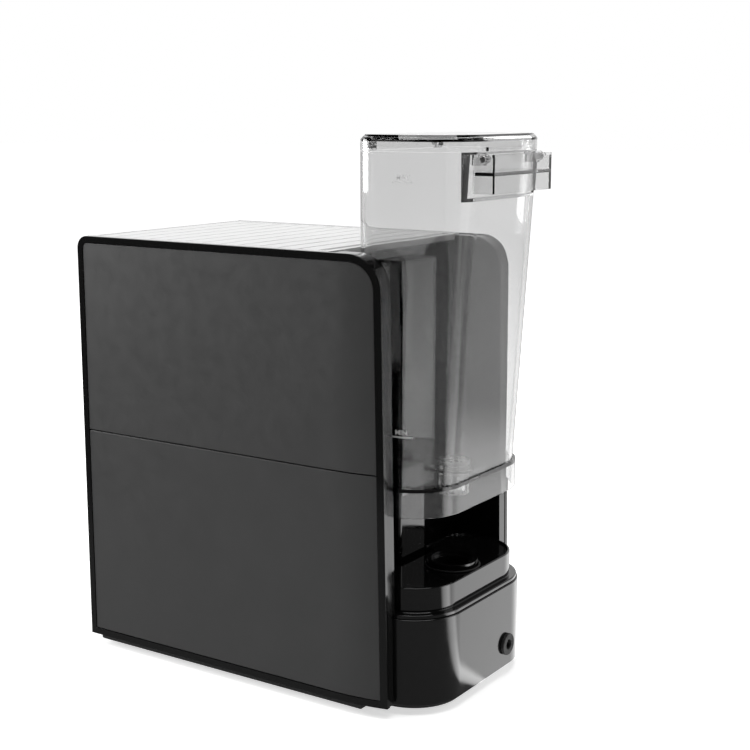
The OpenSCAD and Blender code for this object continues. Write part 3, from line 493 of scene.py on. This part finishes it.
@dataclass
class Front(Assembly):
    """Fascia, control panel, keys and cup bay."""

    ink: float = 0.06
    stroke_width: float = 0.7
    bezel_in: float = 7.9
    bezel_out: float = 9.2
    bezel_rise: float = 0.5

    def nodes(self) -> dict[str, float]:
        """The front's nodes."""
        return {"front_fascia": 0.6, "lower_fascia": 0.6, "bay_liner": 0.5, "control_panel": 0.3,
                "indicator_lens": 0.2, "button_power": 0.5, "button_short": 0.5, "button_long": 0.5,
                "spout": 0.5}

    def symbol(self, name: str, body: str, strokes: list[list[tuple[float, float]]]) -> None:
        """Prints a symbol made of strokes on a key's face.

        Args:
            name: The piece's name.
            body: The key's body.
            strokes: Polylines in millimetres around the middle of the key, x to the right of the reader.
        """
        low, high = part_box(f"button_{body.split('_')[0]}")
        middle, foot = (low + high) / 2, low.y - self.ink * MM
        verts, faces = [], []
        for stroke in strokes:
            for start, end in zip(stroke, stroke[1:]):
                along = Vector(end) - Vector(start)
                side = Vector((-along.y, along.x)).normalized() * self.stroke_width / 2
                reach = along.normalized() * self.stroke_width / 2
                corners = [Vector(start) - reach + side, Vector(start) - reach - side,
                           Vector(end) + reach - side, Vector(end) + reach + side]
                first = len(verts)
                for depth in (foot, low.y + self.ink * MM):
                    verts += [(middle.x + c.x * MM, depth, middle.z + c.y * MM) for c in corners]
                faces += [tuple(first + i for i in face) for face in BLOCK]
        mesh_piece(name, verts, faces, Slot.dark_gloss, body, smooth=False)

    @staticmethod
    def arc(radius: float, start: float, end: float, steps: int = 16) -> list[tuple[float, float]]:
        """Points of an arc about the middle, angles in degrees from the right."""
        angles = [math.radians(start + (end - start) * k / steps) for k in range(steps + 1)]
        return [(radius * math.cos(a), radius * math.sin(a)) for a in angles]

    def cup(self, half: float, top: float) -> list[list[tuple[float, float]]]:
        """Strokes of a cup with a handle and a wisp of steam."""
        body = [(-half, top), (-half * 0.7, -2.6), (half * 0.7, -2.6), (half, top), (-half, top)]
        handle = [(half, top - 0.6), (half + 1.2, top - 0.8), (half + 1.1, top - 2.0),
                  (half * 0.9, top - 2.4)]
        return [body, handle, [(-0.5, top + 0.9), (-0.1, top + 1.7), (-0.5, top + 2.5)]]

    def extras(self) -> None:
        """Symbols on the keys and a thin raised ring around each."""
        self.symbol("symbol_power", "power_key", [self.arc(2.7, 125, 415), [(0, 0.4), (0, 3.4)]])
        self.symbol("symbol_short", "short_key", self.cup(1.8, 0.2))
        self.symbol("symbol_long", "long_key", self.cup(1.8, 1.4))
        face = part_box("control_panel")[0].y
        for key in ("power", "short", "long"):
            low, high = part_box(f"button_{key}")
            ring_piece(f"bezel_{key}", (low + high) / 2, "Y", (self.bezel_in, self.bezel_out),
                       (face - self.bezel_rise * MM, face + 0.3 * MM), Slot.dark_gloss, "machine")


@dataclass
class BrewUnit(Assembly):
    """Brew head, lever, drawer and piston."""

    def nodes(self) -> dict[str, float]:
        """The brew head's nodes."""
        return {"brew_housing": 0.5, "brew_bulkhead": 0.3, "lever_pins": 0.2, "brew_lever": 0.5,
                "lever_grip": 0.8, "brew_piston": 0.3, "piercing_needle": 0.05, "pod_drawer": 0.7,
                "pod_cup": 0.3}


@dataclass
class CupRest(Assembly):
    """Drip tray, grid and used pod bin."""

    def nodes(self) -> dict[str, float]:
        """What catches drips and used pods."""
        return {"drip_tray": 0.8, "drip_grid": 0.4, "used_pod_bin": 0.6}


@dataclass
class Inside(Assembly):
    """What the shell hides."""

    def nodes(self) -> dict[str, float]:
        """The hidden works."""
        return {"chassis_wall_right": 0, "chassis_wall_left": 0, "chassis_deck": 0, "pump": 0.5,
                "pump_mounts": 0.5, "thermoblock": 0.6, "flow_meter": 0.4, "hoses": 0,
                "control_board": 0.1}


# ---- studio ----
@dataclass
class Studio:
    """Pale floor, white backdrop, soft lamps and the camera.

    Gloss mirrors a brighter room behind and left of the machine, and a dim one around the camera.
    """

    eye: Point = (0.8427, 0.6134, 0.4084)
    heading: float = 123.57
    dip: float = 10.64
    lens: float = 68.25
    target: Point = (0.0, 0.0, 0.2)
    lamps: tuple[tuple[str, Point, float, float], ...] = (
        ("lamp_front_right", (0.55, -1.9, 0.8), 1.2, 52),
        ("lamp_rear_left", (-1.0, 1.6, 1.2), 1.0, 8),
        ("lamp_top", (0.1, 0.1, 1.9), 1.4, 26),
    )
    bounces: int = 28
    room: float = 0.12
    dim: float = 0.08
    soft_side: Point = (-0.848, 0.53, 0.0)
    soft_level: float = 0.8
    soft_reach: tuple[float, float] = (0.6, 0.95)
    strip_side: Point = (-0.242, 0.97, 0.0)
    strip_level: float = 1.3
    strip_reach: tuple[float, float] = (0.95, 1.0)
    near_gain: float = 2.9
    far_gain: float = 1.0
    world_gain: float = 0.45
    floor_side: float = 12.0
    floor_lift: float = 0.62

    def lamp(self, name: str, place: Point, size: float, power: float) -> None:
        """A square soft lamp aimed at the machine.

        Args:
            name: The lamp's name.
            place: Where it hangs, in metres.
            size: Its side in metres.
            power: Its power in watts.
        """
        data = bpy.data.lights.new(name, "AREA")
        data.size, data.energy = size, power
        lamp = bpy.data.objects.new(name, data)
        bpy.context.scene.collection.objects.link(lamp)
        lamp.location = place
        lamp.rotation_euler = (Vector(place) - Vector(self.target)).to_track_quat("Z", "Y").to_euler()

    @staticmethod
    def reach(tree: Tree, value: Socket, start: float, end: float, low: float, high: float) -> Socket:
        """A smooth step of a value.

        Args:
            tree: The node tree.
            value: The value that is stepped.
            start: Where the step starts.
            end: Where it ends.
            low: What it gives before the step.
            high: What it gives after it.
        Returns:
            The step's socket.
        """
        step = tree.add("MapRange", interpolation_type="SMOOTHSTEP", Value=value, From_Min=start,
                        From_Max=end, To_Min=low, To_Max=high)
        return step.outputs[0]

    @staticmethod
    def maths(tree: Tree, operation: str, *values: object) -> Socket:
        """One arithmetic node on sockets or numbers.

        Args:
            tree: The node tree.
            operation: The operation's name.
            values: Its inputs.
        Returns:
            The result's socket.
        """
        node = tree.add("Math", operation=operation)
        for index, value in enumerate(values):
            if isinstance(value, Socket):
                tree.link(value, node.inputs[index])
            else:
                node.inputs[index].default_value = value
        return node.outputs[0]

    def towards(self, tree: Tree, way: Socket, side: Point) -> Socket:
        """How closely a direction points to one side, from -1 to 1."""
        dot = tree.add("VectorMath", operation="DOT_PRODUCT")
        tree.link(way, dot.inputs[0])
        dot.inputs[1].default_value = side
        return dot.outputs["Value"]

    def mirrored(self, tree: Tree, way: Socket) -> Socket:
        """What gloss mirrors from a level direction.

        Args:
            tree: The node tree.
            way: The direction, of length one.
        Returns:
            The brightness.
        """
        near = self.towards(tree, way, self.soft_side)
        soft = self.reach(tree, near, *self.soft_reach, self.dim, self.soft_level)
        thin = self.towards(tree, way, self.strip_side)
        strip = self.reach(tree, thin, *self.strip_reach, 0, self.strip_level)
        return self.maths(tree, "ADD", soft, strip)

    def seen(self, tree: Tree) -> tuple[Socket, Socket]:
        """Whether a ray comes from the camera or through clear plastic, and whether it is mirrored."""
        path = tree.add("LightPath")
        camera, through = path.outputs["Is Camera Ray"], path.outputs["Is Transmission Ray"]
        direct = self.maths(tree, "MAXIMUM", camera, through)
        away = self.maths(tree, "SUBTRACT", 1.0, direct)
        return direct, self.maths(tree, "MULTIPLY", path.outputs["Is Glossy Ray"], away)

    def world(self) -> None:
        """A white backdrop; gloss sees it only behind the machine."""
        world = bpy.data.worlds.new("room")
        bpy.context.scene.world = world
        world.use_nodes = True
        tree = Tree(world.node_tree)
        out = tree.add("OutputWorld")
        direct, glossy = self.seen(tree)
        way = tree.add("TexCoord").outputs["Generated"]
        around = math.radians(self.heading)
        ahead = self.towards(tree, way, (-math.sin(around), math.cos(around), 0))
        behind = self.reach(tree, ahead, 0.45, 0.85, 0, 1)
        far = self.maths(tree, "MULTIPLY", self.mirrored(tree, way), self.world_gain)
        level = self.maths(tree, "MULTIPLY", glossy, self.maths(tree, "MAXIMUM", behind, far))
        level = self.maths(tree, "ADD", level, direct)
        matte = self.maths(tree, "SUBTRACT", self.maths(tree, "SUBTRACT", 1.0, glossy), direct)
        level = self.maths(tree, "ADD", level, self.maths(tree, "MULTIPLY", matte, self.room))
        back = tree.add("Background")
        back.inputs["Color"].default_value = (1, 1, 1, 1)
        tree.link(level, back.inputs["Strength"])
        tree.link(back.outputs[0], out.inputs["Surface"])

    def floor(self) -> None:
        """A pale floor that keeps the machine's shadow; gloss mirrors a light sweep on it."""
        material = bpy.data.materials.new("pale_floor")
        material.use_nodes = True
        tree = Tree(material.node_tree)
        out = tree.add("OutputMaterial")
        direct, glossy = self.seen(tree)
        matte = tree.add("BsdfDiffuse")
        matte.inputs["Color"].default_value = (0.8, 0.8, 0.8, 1)
        centre = tree.add("VectorMath", operation="SUBTRACT")
        tree.link(tree.add("TexCoord").outputs["Object"], centre.inputs[0])
        centre.inputs[1].default_value = (0, 0.13, 0)
        length = tree.add("VectorMath", operation="LENGTH")
        tree.link(centre.outputs[0], length.inputs[0])
        way = tree.add("VectorMath", operation="NORMALIZE")
        tree.link(centre.outputs[0], way.inputs[0])
        span = length.outputs["Value"]
        gain = self.maths(tree, "MULTIPLY", self.reach(tree, span, 0.48, 0.8, self.near_gain, 1),
                          self.reach(tree, span, 1.0, 1.6, 1, self.far_gain))
        lift = tree.add("Emission")
        white = self.reach(tree, span, 0.4, 1.1, self.floor_lift, 1)
        tree.link(self.maths(tree, "MULTIPLY", direct, white), lift.inputs["Strength"])
        plain = tree.add("AddShader")
        tree.link(matte.outputs[0], plain.inputs[0])
        tree.link(lift.outputs[0], plain.inputs[1])
        sweep = tree.add("Emission")
        level = self.maths(tree, "MULTIPLY", self.mirrored(tree, way.outputs[0]), gain)
        tree.link(level, sweep.inputs["Strength"])
        mix = tree.add("MixShader")
        tree.link(glossy, mix.inputs[0])
        tree.link(plain.outputs[0], mix.inputs[1])
        tree.link(sweep.outputs[0], mix.inputs[2])
        tree.link(mix.outputs[0], out.inputs["Surface"])
        side = self.floor_side
        corners = [(-side, -side, 0), (side, -side, 0), (side, side, 0), (-side, side, 0)]
        mesh = bpy.data.meshes.new("floor")
        mesh.from_pydata(corners, [], [(0, 1, 2, 3)])
        mesh.materials.append(material)
        piece = bpy.data.objects.new("floor", mesh)
        bpy.context.scene.collection.objects.link(piece)

    def camera(self) -> None:
        """The camera, behind and to the right of the machine."""
        data = bpy.data.cameras.new("camera")
        data.lens = self.lens
        camera = bpy.data.objects.new("camera", data)
        bpy.context.scene.collection.objects.link(camera)
        around, down = math.radians(self.heading), math.radians(self.dip)
        level = math.cos(down)
        back = Vector((math.sin(around) * level, -math.cos(around) * level, math.sin(down)))
        camera.location = self.eye
        camera.rotation_mode = "QUATERNION"
        camera.rotation_quaternion = (-back).to_track_quat("-Z", "Y")
        bpy.context.scene.camera = camera

    def build(self) -> None:
        """Sets up the whole studio."""
        scene = bpy.context.scene
        scene.view_settings.view_transform = "Standard"
        scene.cycles.max_bounces = self.bounces
        scene.cycles.transmission_bounces = self.bounces
        scene.cycles.transparent_max_bounces = self.bounces
        self.camera()
        self.world()
        self.floor()
        for name, place, size, power in self.lamps:
            self.lamp(name, place, size, power)


def main() -> None:
    """Builds the sub-assemblies in order, then the studio."""
    logging.basicConfig(level=logging.INFO, format="%(name)s: %(message)s")
    for assembly in (BodyShell(), Niche(), WaterTank(), Front(), BrewUnit(), CupRest(), Inside()):
        log.info("%s", type(assembly).__name__)
        assembly.build()
    Studio().build()


if __name__ == "__main__":
    main()
